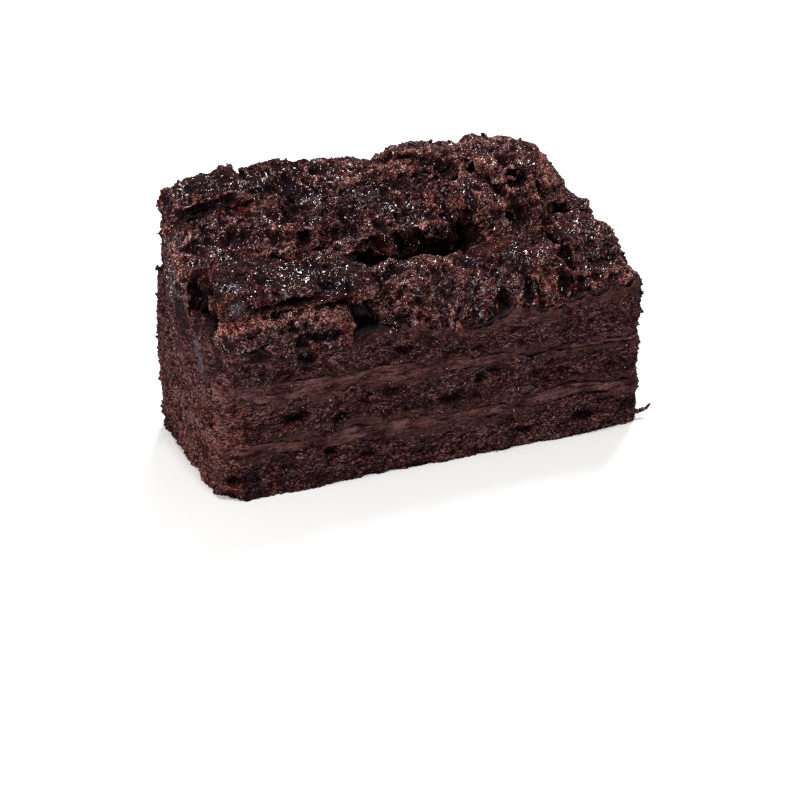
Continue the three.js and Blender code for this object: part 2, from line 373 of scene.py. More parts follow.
def ramp(value, stops):
    node = new_node(value.id_data, "ShaderNodeValToRGB")
    elements = node.color_ramp.elements
    while len(elements) < len(stops):
        elements.new(0.5)
    for element, (place, colour) in zip(elements, stops):
        element.position = place
        element.color = (*colour, 1.0)
    link(value, node.inputs["Fac"])
    return node.outputs["Color"]


def mix_colour(share, a, b, blend="MIX"):
    node = new_node(a.id_data, "ShaderNodeMix", data_type="RGBA", blend_type=blend)
    if isinstance(share, float):
        node.inputs["Factor"].default_value = share
    else:
        link(share, node.inputs["Factor"])
    link(a, node.inputs[6])
    if isinstance(b, tuple):
        node.inputs[7].default_value = (*b, 1.0)
    else:
        link(b, node.inputs[7])
    return node.outputs[2]


def stretched(vector, scale):
    node = new_node(vector.id_data, "ShaderNodeMapping")
    set_inputs(node, {"Scale": scale})
    link(vector, node.inputs["Vector"])
    return node.outputs["Vector"]


def bump(height, strength, distance, normal=None):
    node = new_node(height.id_data, "ShaderNodeBump")
    set_inputs(node, {"Strength": strength, "Distance": distance})
    link(height, node.inputs["Height"])
    if normal is not None:
        link(normal, node.inputs["Normal"])
    return node.outputs["Normal"]


def start_material(name):
    material = bpy.data.materials.new(name)
    material.use_nodes = True
    tree = material.node_tree
    shader = tree.nodes["Principled BSDF"]
    place = new_node(tree, "ShaderNodeNewGeometry").outputs["Position"]
    return material, tree, shader, place


# A share broken up by a texture that is spread from one range to another
def torn_share(share, texture, spread, shares):
    return calculate("MULTIPLY", share, remap(texture, *spread, *shares))


# Baked crumb: near-black pores, dark brown body and reddish tips, with moist glazed patches. The tint
# attribute carries painted shade in pores, hollows and seams and painted highlight on tips and rims; the
# darkest tint turns a flat near-black as painted shade, and the glaze films add a bluish-grey painted
# sheen. Stretch draws its fine streaks out, shine says how much of it glints, and brightest is the colour
# of its tips.
def crumb_material(name, stretch, shine, brightest):
    material, tree, shader, place = start_material(name)
    tint = attribute(tree, "tint")
    glaze = attribute(tree, "glaze")
    along = stretched(place, stretch)
    streak = noise_texture(along, 1900.0, 2.0, 0.6, 1.8)
    fine = noise_texture(along, 3300.0, 1.0, 0.5, 0.8)
    grains = voronoi(place, 1900.0)
    clump = noise_texture(along, 560.0, 3.0, 0.65, 0.6)
    blotch = noise_texture(along, 150.0, 3.0, 0.6)
    level = spread_sum(
        (tint, -1.5, 1.5, 0.01, 0.69),
        (streak, 0.3, 0.7, -0.52, 0.52),
        (fine, 0.26, 0.74, -0.4, 0.4),
        (grains, 0.1, 0.7, 0.13, -0.15),
        (clump, 0.32, 0.68, -0.16, 0.16),
        (blotch, 0.35, 0.65, -0.08, 0.08),
    )
    dry = ramp(level, [
        (0.0, (0.0095, 0.0026, 0.0034)),
        (0.34, (0.0255, 0.0066, 0.0073)),
        (0.56, (0.061, 0.0238, 0.0226)),
        (0.8, (0.17, 0.09, 0.084)),
        (1.0, brightest),
    ])
    wet = ramp(level, [
        (0.0, (0.0076, 0.0016, 0.0025)),
        (0.5, (0.029, 0.0077, 0.0086)),
        (1.0, (0.19, 0.094, 0.083)),
    ])
    rusty = remap(attribute(tree, "rust"), 0.0, 1.0, -0.02, 0.2)
    warmth = calculate("ADD", noise_texture(place, 260.0, 5.0, 0.75), rusty)
    hue = ramp(warmth, [
        (0.34, (0.88, 0.94, 1.26)),
        (0.48, (1.06, 0.96, 0.97)),
        (0.6, (1.22, 0.9, 0.86)),
        (0.74, (1.4, 0.82, 0.73)),
    ])
    colour = mix_colour(glaze, dry, wet)
    colour = mix_colour(1.0, colour, hue, "MULTIPLY")
    # the darkest tint, in the deepest hollows and recesses, turns towards a flat near-black navy: painted
    # shade
    depth = remap(tint, -3.2, -1.8, 0.9, 0.0)
    deep = torn_share(depth, streak, (0.4, 0.62), (1.0, 0.2))
    colour = mix_colour(deep, colour, (0.011, 0.008, 0.013))
    # bluish-grey colour of the glaze films: a painted sheen, under a real coat
    sheen_smear = torn_share(attribute(tree, "film"), streak, (0.35, 0.65), (0.15, 0.85))
    colour = mix_colour(sheen_smear, colour, (0.056, 0.041, 0.058))
    drag = noise_texture(stretched(place, (0.15, 0.15, 1.0)), 1500.0, 3.0, 0.6)
    fudge = ramp(drag, [
        (0.3, (0.03, 0.0105, 0.0098)),
        (0.5, (0.062, 0.0245, 0.0215)),
        (0.7, (0.115, 0.052, 0.043)),
    ])
    dragged = torn_share(attribute(tree, "dragged"), streak, (0.35, 0.62), (0.35, 1.0))
    colour = mix_colour(dragged, colour, fudge)
    # deep red colour mixed in at the listed red spots
    deep_red_share = torn_share(attribute(tree, "red"), streak, (0.35, 0.65), (0.1, 0.7))
    colour = mix_colour(deep_red_share, colour, (0.11, 0.008, 0.007))
    link(colour, shader.inputs["Base Color"])
    set_inputs(shader, {"Roughness": 0.85, "Specular IOR Level": 0.06})
    beads = noise_texture(place, 800.0, 1.0, 0.5, 1.8)
    glint = remap(beads, 0.645, 0.675, 0.0, 0.9 * shine)
    moist = remap(beads, 0.55, 0.585, 0.0, 0.3 + 0.7 * shine)
    coat = calculate("MAXIMUM", glint, calculate("MULTIPLY", glaze, moist))
    coat = calculate("MAXIMUM", coat, calculate("MULTIPLY", sheen_smear, 0.15))
    link(coat, shader.inputs["Coat Weight"])
    set_inputs(shader, {"Coat Roughness": 0.13, "Coat IOR": 2.3})
    normal = bump(grains, -0.7, 0.00034)
    normal = bump(streak, 1.0, 0.0005, normal)
    link(normal, shader.inputs["Normal"])
    link(bump(beads, 0.6, 0.0006), shader.inputs["Coat Normal"])
    return material


# Fudge filling: smoother and lighter, dragged along the cut
def fudge_material():
    material, tree, shader, place = start_material("fudge")
    tint = attribute(tree, "tint")
    drag = noise_texture(stretched(place, (0.12, 0.12, 1.0)), 1500.0, 3.0, 0.6)
    streak = noise_texture(stretched(place, (0.4, 0.4, 1.2)), 1300.0, 2.0, 0.6, 1.5)
    blotch = noise_texture(stretched(place, (0.5, 0.5, 1.0)), 260.0, 4.0, 0.65)
    level = spread_sum(
        (tint, -1.0, 1.0, 0.0, 0.85),
        (drag, 0.3, 0.7, -0.4, 0.4),
        (streak, 0.3, 0.7, -0.34, 0.34),
        (blotch, 0.35, 0.65, -0.16, 0.16),
    )
    colour = ramp(level, [
        (0.0, (0.013, 0.0042, 0.0052)),
        (0.35, (0.058, 0.0225, 0.0215)),
        (0.65, (0.11, 0.049, 0.044)),
        (1.0, (0.165, 0.08, 0.07)),
    ])
    hue = ramp(blotch, [
        (0.35, (1.2, 0.94, 0.88)),
        (0.5, (1.0, 1.0, 1.0)),
        (0.65, (0.9, 0.98, 1.08)),
    ])
    colour = mix_colour(1.0, colour, hue, "MULTIPLY")
    # bluish-grey painted sheen of the glaze films
    sheen_smear = torn_share(attribute(tree, "film"), drag, (0.4, 0.6), (0.3, 0.8))
    colour = mix_colour(sheen_smear, colour, (0.058, 0.04, 0.048))
    link(colour, shader.inputs["Base Color"])
    set_inputs(shader, {"Roughness": 0.65, "Specular IOR Level": 0.03})
    normal = bump(drag, 0.9, 0.0004)
    normal = bump(streak, 0.9, 0.0004, normal)
    normal = bump(blotch, 0.3, 0.0006, normal)
    link(normal, shader.inputs["Normal"])
    return material


# Wet glaze between the chunks
def glaze_material():
    material, tree, shader, place = start_material("glaze")
    tint = attribute(tree, "tint")
    blotch = noise_texture(place, 420.0, 4.0, 0.6)
    level = spread_sum(
        (tint, -1.0, 1.0, 0.0, 1.0),
        (blotch, 0.3, 0.7, -0.25, 0.25),
    )
    colour = ramp(level, [
        (0.0, (0.016, 0.0095, 0.013)),
        (0.5, (0.032, 0.0165, 0.0185)),
        (1.0, (0.085, 0.038, 0.034)),
    ])
    link(colour, shader.inputs["Base Color"])
    link(remap(blotch, 0.3, 0.7, 0.6, 0.85), shader.inputs["Roughness"])
    set_inputs(shader, {"Specular IOR Level": 0.08})
    link(bump(blotch, 0.6, 0.0006), shader.inputs["Normal"])
    return material


# Spots on the slice by kind: x, y and z, and how far they reach along each, in millimetres
SPOTS = {
    # places where moist glaze shows
    "glaze": [
        (-51.5, 7.8, 46, 2.2, 2, 9), (-46.4, -18.4, 49.4, 2.4, 3, 3),
        (-43.8, -1, 50.2, 4.4, 3.4, 2.6), (-43, 4, 54, 4, 3, 3),
        (-29.4, 3.4, 53.6, 3.4, 3.6, 3.6), (-17.2, 9.6, 56.2, 4.6, 4.4, 3),
        (-14.6, 8.2, 54.6, 4.4, 3, 3), (-23.8, 13.6, 59, 4.4, 4.4, 2.8),
        (-34, 11, 60, 2.4, 3, 2), (-4.8, 9, 54.4, 5.4, 3.4, 3.4),
        (3, 4.2, 50, 5.4, 3.4, 3.4), (-18.4, -3.6, 46.8, 5.4, 3.4, 2.4),
        (-29.4, -8.2, 48.2, 5, 4, 2.4), (-32.4, -20.4, 48.4, 4.4, 3, 2),
        (-26, -16, 48, 7, 5, 2.6), (11.5, -19.5, 38, 3.4, 4.5, 6.4),
        (15.4, -18.4, 40, 1.4, 3, 4.4), (26.2, -19, 36.6, 1.6, 3, 3.6),
        (-11.6, -13.6, 38.4, 3.4, 4, 3.4), (-7, -12.6, 45.4, 4.4, 4, 2.6),
        (23.6, -15, 44.2, 5.4, 4, 2.6), (44, -13.4, 43, 6, 5, 3),
        (21.4, -2, 48.4, 2.4, 6, 4.4), (21.4, 4, 56, 3.4, 4, 2.4),
        (29, 5, 58.6, 6, 4, 2.4), (-46.5, 16, 58.5, 3.4, 4, 2.4),
        (-52, -8, 31, 2, 4, 3.4), (-42, -22.8, 28.6, 4.4, 2, 1.2),
        (-33, -22.8, 31.2, 3.6, 2, 1.3),
    ],
    # smooth films of glaze whose bluish-grey colour is a painted sheen, with a real coat over them
    "film": [
        (-51, 6.3, 51, 2, 1, 3.4), (-52.2, 4.2, 46.5, 2.4, 0.9, 4.4),
        (-52.1, 4.8, 41.6, 2.4, 1.2, 2.2), (-45.8, -18.6, 49.6, 1.8, 1.4, 1.8),
        (-46.8, -21.4, 46.4, 1.6, 2, 1.8), (-17.6, 8.5, 55.8, 2.2, 1.8, 1.6),
        (-52, -7, 32.6, 2.4, 1.8, 2.4), (-51.4, -10.6, 30, 2.4, 2, 2.2),
    ],
    # spots of deep red colour
    "red": [
        (16.8, -12.7, 46, 2.2, 2.4, 2), (21.5, -10.2, 45.6, 2, 2.4, 1.8),
        (10.4, 1.8, 48.4, 1.8, 2, 1.8), (-22.4, -23.4, 38.4, 1.6, 2, 2.2),
        (12.1, -21.3, 34.9, 1.6, 2, 1.3), (-35.5, 8, 56.4, 2, 2, 1.2),
        (50.5, -21.6, 26.9, 1.8, 2.2, 2),
    ],
    # redder places
    "warm": [
        (-51.5, -6, 12, 5, 28, 16), (-50, -21, 16, 8, 6, 10),
        (-44, -22, 42.6, 7, 3, 2.4), (-24, -23, 40, 3.4, 3, 4.4),
        (-30.6, 0.6, 53.4, 4, 4, 3), (10, 4.6, 52, 3, 5, 4.4),
        (20, -6, 49, 5, 6, 6), (30, 4, 58, 9, 5, 4),
        (28, -19, 37, 6, 4, 5),
    ],
}

# Where the edge of a spot of each kind starts and ends, counted in its reach
SPOT_EDGES = {"glaze": (1.5, 0.6), "film": (1.3, 0.7), "red": (1.2, 0.4), "warm": (1.3, 0.5)}


# Distance of points from the place of a spot, counted in its reach
def away_from(spot, points):
    return np.linalg.norm((points - np.array(spot[:3])) / np.array(spot[3:6]), axis=1)


# Share of the spots of a kind at points, with broken edges
def spot_share(points, kind):
    ragged = warped(points, 1.6, 0.6, 85)
    share = np.zeros(len(points))
    for spot in SPOTS[kind]:
        share = np.maximum(share, step(*SPOT_EDGES[kind], away_from(spot, ragged)))
    return share


# Share of glaze at points, patchy within each spot and lightly scattered over all tops
def glaze_share(points, normals):
    share = spot_share(points, "glaze")
    broken = smooth_noise(points, 2.4, 91) + 0.6 * smooth_noise(points, 1.0, 92)
    share = share * step(-0.8, 0.0, broken)
    tops = step(-0.1, 0.5, normals[:, 2]) * step(-0.25, 0.25, smooth_noise(points, 7.0, 93))
    tops = tops * step(-0.5, 0.3, broken) * step(35.0, 41.0, points[:, 2])
    return np.clip(np.maximum(share, 0.22 * tops), 0.0, 1.0)


# Hollows: place and reach like the spots, depth, and the node where only one has it
HOLLOWS = [
    # pits and cracks of the two front left chunks
    (-38.1, -16.6, 50.3, 3.2, 3, 3.6, 4.6), (-24.8, -7.9, 48, 2.4, 2.4, 3, 3.4),
    (-23.6, -19.6, 47, 4.8, 3.6, 2.6, 3.2), (-39.4, -22, 44.8, 4.4, 4, 1.2, 3),
    (-33, -22.3, 45.5, 5, 4, 1.4, 3.4), (-28.6, -23.3, 37.2, 8, 3, 0.9, 1.8),
    (-49.5, -12, 42, 4.2, 6.4, 8.4, 4.6), (-32.5, -23.6, 35.5, 2.6, 3, 1.6, 2.4),
    # the long recess and the dark gaps beside it
    (-1, -3, 43.8, 15, 5, 3.8, 3.6), (14.6, -1.6, 46.2, 2.8, 4, 5.4, 4),
    (16.9, -4.5, 43.4, 2.2, 3, 3.6, 3), (9.8, -13.6, 44.4, 3, 3.4, 2.4, 2.8),
    (-9.2, -8.4, 45.2, 3.4, 3, 2.8, 2.6), (-6.8, -13.4, 45.5, 2.4, 2.2, 2.4, 2.2),
    (-23.4, 0.4, 49.6, 2.6, 2.4, 3, 2.6),
    # left end, left middle chunk and the one behind it
    (-48.6, -4.9, 44.4, 3.4, 3.4, 6.4, 3.4), (-49, -6, 38.5, 3.6, 3.4, 5, 3.2),
    (-47.4, 9, 55.4, 4.4, 3, 2.8, 3, "chunk_back_left"),
    (-42.8, 8.6, 57, 3.8, 2.6, 2.4, 2.8, "chunk_back_left"),
    (-38, 8.4, 58.2, 3.4, 2.4, 2.2, 2, "chunk_back_left"), (-47, 2.6, 51.6, 2.6, 2.2, 2.4, 1.5),
    (-38.6, 1.6, 52.6, 5, 2.6, 2.4, 2.2),
    # back row and the slab's right edge
    (-20.8, 13, 58, 1.8, 6, 2.4, 2.2), (-25.4, 11.8, 57.6, 2.4, 2.8, 3, 2.2),
    (-20.4, 18.8, 61.2, 3.2, 5, 2.4, 1.3), (-13.7, 14.2, 59.6, 2.6, 2.2, 2.6, 2),
    (-43.8, 14.6, 60.3, 2.8, 2.4, 2.4, 1.8),
    (2.6, 15.6, 59.4, 3, 2, 2.2, 2, "chunk_back_right_of_middle"),
    (6.4, 12, 60.2, 4.6, 1.9, 2.2, 2.6, "chunk_back_right_of_middle"),
    (10.8, 10.4, 59, 3.4, 2, 2.4, 2.6, "chunk_back_right_of_middle"), (15.3, 9.4, 57, 3, 2.6, 2.8, 3.8),
    (13.5, 6.4, 52.8, 1.2, 2.8, 3.2, 1.5), (13.7, 1.6, 49.4, 1.1, 2.6, 3.2, 1.2),
    (16.9, -1, 51.8, 1.2, 4, 4, 2, "chunk_wall_left"),
    # tall right chunk and the lumps below it
    (27.4, 5.6, 59.2, 2.2, 2, 2, 1.3), (30.3, 7.8, 58.3, 2.4, 1.8, 1.7, 1.6),
    (30.6, 1.8, 55.3, 2, 2.4, 2.4, 1.4), (26.8, -3.6, 49, 2.4, 2.6, 4, 2.6),
    (40.4, 1.5, 45, 2.8, 3, 2.2, 2.6),
    # notches of the front right chunks
    (34.4, -15, 41.4, 2, 3.4, 2.8, 3), (31.9, -19.8, 37.6, 1.8, 3.4, 3.2, 3),
    (17.1, -19.8, 36.4, 1.8, 2.6, 2.8, 2.8), (23.7, -18.9, 37, 1.8, 2.6, 3.2, 2.8),
    # cut sides and the edges just above them
    (-31, -23, 31, 2.4, 2.6, 1.1, 1.9), (-51.4, -15.9, 36, 2.6, 2.6, 2.4, 2.2),
    (-51.2, -18.8, 37, 2.6, 2.8, 2.6, 2.4), (-34, -23, 18.5, 4.2, 2.6, 1.4, 2.2),
    (-23.8, -23, 16, 3, 2.6, 1.1, 1.9), (-48, -22, 5.1, 2.6, 2.6, 1.5, 2.2),
    (-51.5, -22.5, 0, 5.5, 5, 3.4, 2.2), (-26.4, -23, 8.4, 2.4, 2.4, 1.2, 1.9),
    (10.5, -23, 18.9, 2.2, 2.4, 1.3, 2), (36, -23, 4.6, 2.8, 2.4, 1.9, 2.4),
    (21.7, -23, 4, 2.2, 2.4, 1.4, 2), (-8.3, -23, 29.5, 2.6, 2.4, 1.3, 2),
]

# Ridges that stand up from a chunk: place and reach like the spots, and height
CRESTS = {
    "chunk_middle_slab": [
        (4, 11.4, 57.4, 9, 3, 3.4, 1.3), (9.6, 4.2, 51.2, 1.8, 5, 4, 0.9),
    ],
    "chunk_front_left_lower": [
        (-45.5, -22.6, 42.4, 5, 3, 1.4, 0.9), (-35, -22.9, 42.2, 7, 3, 1.4, 0.8),
        (-25.5, -23.1, 41.2, 5.6, 3, 1.4, 0.8),
    ],
    "chunk_front_middle": [
        (-2, -9.6, 46, 9, 2.4, 3, 0.9), (-12, -15, 38, 3.4, 5.4, 5, 1.8),
    ],
    "chunk_front_left_upper": [
        (-29, -7.4, 48.4, 4.4, 3, 3, 1), (-18.6, -8, 47.4, 5, 3, 3, 1.4),
    ],
    "chunk_left_middle": [(-28.8, -4.8, 48.6, 4, 3, 3.4, 1.3)],
    "chunk_back_right_tall": [
        (23.4, 7.6, 56.4, 2.6, 4, 4, 1.2), (37, 2.4, 53.4, 2.4, 3, 4.4, 0.9),
    ],
    "chunk_wall_left": [(20.6, -2.6, 52, 1.8, 3.4, 5, 0.9)],
    "chunk_front_right_ridge": [(20.4, -18.4, 39.4, 1.4, 3, 3.6, 0.9)],
    "chunk_front_right_lobe": [(27.4, -19.4, 36.8, 1.6, 3, 3.6, 0.9)],
}

# Lighter and darker places on the slice, mostly painted highlight and painted shade, partly tone of the
# crumb: lit edges, ledges and the left end lighter, pits, gaps and the long recess darker. Place and reach
# like the spots, and how much
TINT_SPOTS = [
    # left end and the two front left chunks
    (-33, -22.8, 42.2, 14, 2.4, 1.8, 0.85), (-45, -21.8, 43.2, 3.4, 2.8, 1.9, 1.3),
    (-37.5, -21.8, 43.2, 8, 2.6, 1.7, 1.2), (-23.9, -23, 40.6, 4, 2.4, 3, 0.5),
    (-22.6, -16.4, 47, 8.4, 8, 3.2, -1.5), (-28.4, -11.4, 48, 5.4, 3.8, 2.4, -1.4),
    (-49.2, -14.4, 47.4, 3, 5.4, 5.4, -1.2), (-38.2, -17.4, 49.8, 5, 4.4, 3, -1),
    (-49, -15.6, 49.2, 2.8, 4.6, 4.4, -0.9), (-52, -2, 46, 3, 9, 9, 0.25),
    (-49.4, 3.2, 51, 2.6, 3, 2.6, 1.5), (-51.9, 0.9, 38.6, 2.6, 4, 6.8, -2.1),
    (-51.2, -18.6, 37.2, 2.8, 3.4, 3, -1.9), (-25.8, -22.8, 43.2, 4, 2.4, 1.8, 1),
    # left middle chunk
    (-37.6, 1.8, 49, 3.4, 3, 3, -0.4),
    (-41.4, -0.8, 50.4, 5.6, 3.6, 3.2, -0.9), (-34.4, 0.8, 53.2, 4, 3, 2.6, -1.6),
    (-28.6, -4.8, 49, 4, 3.2, 3.6, 1.1), (-30, 2, 54.4, 3.4, 4.4, 2.4, 0.8),
    (-39, 6.6, 55.2, 8, 2, 1.6, 1.1),
    # slab, back row and tall right chunk
    (7, -1, 47.8, 5, 2.6, 2.2, 1.4), (-21.4, -1.6, 48.2, 3, 2.6, 3, 1.2),
    (-0.7, 5, 52.2, 3.4, 3.4, 3.4, -1.3), (9.8, 9, 56, 2.6, 3, 2.4, 0.7),
    (4, 11.6, 58.2, 9, 3, 2.4, 0.35), (9.6, 4.4, 51.2, 2, 5, 4, 0.35),
    (-40, 16, 60.4, 10, 7, 2.8, -1.3), (-16.6, 18.8, 58.4, 4, 4, 3, -0.8),
    (-27, 15.4, 59, 4.2, 4.4, 2.8, -1.2), (1.6, 12.6, 58.4, 3, 6, 3, -0.6),
    (23, 7, 56, 3.4, 4.6, 3.2, 1.4), (28.4, 1.8, 55.6, 3.4, 3, 3.4, 1.7),
    (24, 8, 58.6, 3, 3, 2.4, -0.9), (38, 1.7, 48.6, 3.4, 3.4, 5.8, 2.3),
    # the long recess
    (-1, -2.6, 43, 17, 6, 5.4, -0.3), (-13.4, -0.6, 44.4, 8.6, 3.6, 4.4, 3.2),
    (-9, -7.6, 44.4, 3.4, 3, 3, -1), (16, -2.4, 45, 3, 4, 5, -0.8),
    # front middle and right part
    (16.1, 2.6, 47, 2.4, 3, 5, 0.4), (17, -12.4, 45.2, 9.6, 5, 3, -1.4),
    (10.4, -18.2, 43.2, 5, 3.4, 3, -0.8), (11.6, -12.2, 44.4, 3, 3, 2.4, -0.7),
    (-12.2, -14.4, 37.6, 3.4, 6, 5.2, 3.2), (-16.4, -20.6, 44, 2.4, 3.4, 2.4, 1),
    (5.3, -20.4, 35.6, 4, 3, 2.6, 1), (-3.6, -21.4, 36.8, 5, 3, 3, 0.7),
    (4.4, -20.2, 39, 4, 3, 4, 0.4), (32.2, -20.8, 34.8, 3.4, 3, 4, 0.4),
    (40.4, -18.8, 39.4, 5.6, 4.4, 3.2, -0.5), (37.6, -13.4, 44.6, 3.4, 3.4, 3, -0.6),
    (24.4, -10, 44.9, 3.4, 3.4, 2.4, -0.8), (48, -16.6, 38.4, 4, 5.4, 3.6, 0.65),
    (43.1, -1.5, 45.2, 3, 3, 2.6, -0.7), (12.9, -20.4, 38, 2.6, 3, 4, 1.1),
    (23, 2.2, 54.4, 2.4, 3, 2.6, 0.9),
    # cut sides
    (-43.6, -22.3, 21.6, 4, 2.4, 2.4, 0.9), (-51.4, 9.2, 24.6, 2.6, 3.6, 4.4, -0.8),
    (-6.4, -22.6, 25.3, 4, 2, 1.8, -0.6), (-51.5, -6, 12, 4, 24, 15, 0.5),
    (-51.5, -4, 26, 2.6, 4, 3, 0.6), (-49.2, -21.5, 18, 4, 3, 3, 0.6),
    (-50, -21, 16, 7, 6, 8, 0.3), (-45.2, -22.6, 29.6, 4, 2, 2, -0.6),
]


# Sum of the painted highlights and painted shade of the listed places at points
def tint_spots(points):
    total = np.zeros(len(points))
    for spot in TINT_SPOTS:
        total += spot[6] * step(1.3, 0.4, away_from(spot, points))
    return total


# Depth of the listed hollows of a node at points
def hollow_depth(points, node):
    ragged = warped(points, 1.8, 0.6, 81)
    depth = np.zeros(len(points))
    for spot in HOLLOWS:
        if len(spot) == 7 or spot[7] == node:
            depth = np.maximum(depth, spot[6] * step(1.1, 0.5, away_from(spot, ragged)))
    return depth


# Height of the listed ridges of a chunk at points
def crest_height(points, node):
    ragged = warped(points, 1.8, 0.6, 83)
    height = np.zeros(len(points))
    for spot in CRESTS.get(node, ()):
        height = np.maximum(height, spot[6] * step(1.3, 0.0, away_from(spot, ragged)))
    return height


# The solids of all nodes but one, for finding what is near
def solids_but(node):
    points = np.empty((0, 3))
    faces = []
    for name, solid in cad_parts.items():
        if name != node:
            more_points, more_faces = mesh_arrays(solid.data, 1.0 / MM)
            faces += (more_faces + len(points)).tolist()
            points = np.concatenate([points, more_points])
    return BVHTree.FromPolygons(points.tolist(), faces)


# How close points lie to other solids: 1 where they touch, 0 beyond the reach
def closeness(points, tree, reach):
    share = np.zeros(len(points))
    for k, point in enumerate(points.tolist()):
        found = tree.find_nearest(point, reach)
        if found[3] is not None:
            share[k] = 1.0 - found[3] / reach
    return share


# Directions spread evenly over a sphere
def spread_directions(count):
    k = np.arange(count) + 0.5
    z = 1.0 - 2.0 * k / count
    turn = k * math.pi * (1.0 + math.sqrt(5.0))
    flat = np.sqrt(1.0 - z * z)
    return np.column_stack([flat * np.cos(turn), flat * np.sin(turn), z])


# Share of the sky above and around each point that the solids hide within the reach, which darkens the
# chunks' colour as painted shade
def hidden_share(points, normals, tree, reach):
    directions = [Vector(d) for d in spread_directions(20) if d[2] > -0.15]
    starts = points + 0.9 * normals
    share = np.zeros(len(points))
    for k, (start, normal) in enumerate(zip(starts.tolist(), normals.tolist())):
        seen = 0
        hit = 0
        origin = Vector(start)
        facing = Vector(normal)
        for direction in directions:
            if facing.dot(direction) < 0.15:
                continue
            seen += 1
            if tree.ray_cast(origin, direction, reach)[0] is not None:
                hit += 1
        share[k] = hit / max(seen, 1)
    return share


# Colour number of crumb: below 0 in hollows, above 0 on tips of grains. Grain tips are lightened as painted
# highlight, pores and hollows darkened as painted shade; each grain's random number is its own tone.
def crumb_tint(grains, tag, pores, hollows):
    # painted shade in the hollows, darkest where they are deep
    inside = 0.45 * hollows + 0.5 * step(0.6, 1.8, hollows)
    return 1.2 * grains + 0.5 * (tag - 0.5) - 0.95 * pores - inside


# How far points stand outside the slice's outline, and the direction that leads back inside
def beyond_outline(points):
    reach = np.array([LENGTH / 2 - CORNER_RADIUS, WIDTH / 2 - CORNER_RADIUS])
    inner = np.clip(points[:, :2], -reach, reach)
    away = points[:, :2] - inner
    length = np.linalg.norm(away, axis=1)
    return length - CORNER_RADIUS, away / np.maximum(length, 1e-6)[:, None]


# How much lighter or darker some chunks are than the rest
CHUNK_TINTS = {
    "chunk_front_left_lower": 0.25,
    "chunk_front_left_upper": -0.8,
    "chunk_left_middle": 0.15,
    "chunk_back_left": -0.28,
    "chunk_back_middle_left": -0.28,
    "chunk_back_middle_right": -0.05,
    "chunk_middle_slab": 0.1,
    "chunk_front_middle": -0.05,
    "chunk_front_right_shiny": -0.2,
    "chunk_wall_left": 0.2,
    "chunk_wall_right": 0.1,
    "chunk_back_right_of_middle": 0.1,
    "chunk_back_right_tall": 0.25,
    "chunk_right_front_low": 0.1,
}


# Torn ridges and valleys of a chunk at points, in millimetres
def torn_relief(points):
    wide = 0.9 * (0.5 - np.abs(2.0 * smooth_noise(points, 6.5, 41)))
    return wide + 0.5 * (0.4 - np.abs(2.0 * smooth_noise(points, 3.0, 44)))


# Height of the glaze bed under chunk points, which are shifted as in the solid model
def bed_below(points):
    return bed_high(points[:, 0] - SHIFT[0])


# Chunk points drawn in to the slice's outline low down, with undersides that hang on the glaze bed
def settled(points, place, normals):
    over, away = beyond_outline(points - SHIFT)
    low_down = step(6.0, 1.0, points[:, 2] - bed_below(points))
    points[:, :2] -= away * (np.maximum(over - 0.5, 0.0) * low_down)[:, None]
    above = points[:, 2] - bed_below(points)
    hanging = 0.9 + 0.8 * smooth_noise(place, 2.0, 63)
    points[:, 2] -= hanging * step(3.4, 0.6, above) * step(0.3, -0.2, normals[:, 2])
    points[:, 2] = np.maximum(points[:, 2], bed_below(points) - BED_SINK)
    return points


# A torn chunk of the crown, in the place and shape of its solid
def chunk_piece(node, material, all_solids):
    points, faces = mesh_arrays(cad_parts[node].data, 1.0 / MM)
    points, faces = fine_mesh(points, faces, CHUNK_VOXEL, 8)
    normals = point_normals(points, faces)
    touching = closeness(points, solids_but(node), TOUCH_REACH)
    points = points + normals * (0.35 + 0.35 * touching)[:, None]
    place = points - SHIFT
    glaze = glaze_share(place, normals)
    film = spot_share(place, "film")
    pores = 1.1 * pore_depth(place, 1.2, 1.0)
    facing = np.maximum(step(0.5, 0.1, normals[:, 1]), step(0.0, 0.4, normals[:, 2]))
    hollows = hollow_depth(place, node) * facing
    grains, tag = grain_relief(place)
    grains = grains * (1.0 - 0.3 * glaze) * (1.0 - 0.7 * film)
    crests = crest_height(place, node)
    relief = np.clip(torn_relief(place) + grains - pores, RELIEF_LOW, RELIEF_HIGH)
    move = relief * (1.0 - CREST_CALM * crests) + crests - hollows
    moved = warped(points + normals * move[:, None], 1.3, 0.2, 61)
    moved = settled(moved, place, normals)
    normals = point_normals(moved, faces)
    # share of the sky hidden from each point, subtracted from the colour below as painted shade
    hidden = hidden_share(moved, normals, all_solids, SHADE_REACH)
    ridge, edge = standing_out(moved, faces, normals, (12, 70))
    # Colour number: grain tips, ridges and chunk rims lighter as painted highlight; pores, hollows,
    # valleys, seams where chunks touch and places hidden from the sky darker as painted shade; with each
    # chunk's own tone and the listed light and shade spots
    tint = crumb_tint(grains, tag, pores, hollows) + np.clip(ridge, -0.7, 0.6)
    tint = tint + 0.9 * np.clip(edge, -1.2, 1.1) + CHUNK_TINTS.get(node, 0.0) + tint_spots(place)
    tint = tint - hidden - 0.8 * touching - 0.12
    glaze = glaze * step(2.2, 0.6, hollows) * step(0.9, 0.5, hidden)
    rust = np.minimum(0.8 * step(0.1, 1.1, edge) + 0.6 * spot_share(place, "warm"), 1.0)
    values = {"tint": tint, "glaze": glaze, "film": film, "red": spot_share(place, "red"), "rust": rust}
    surfaces.append((moved, faces, (touching < 0.6) * (1.0 - film)))
    return make_piece(node + "_crumb", moved, faces, values, material, node)


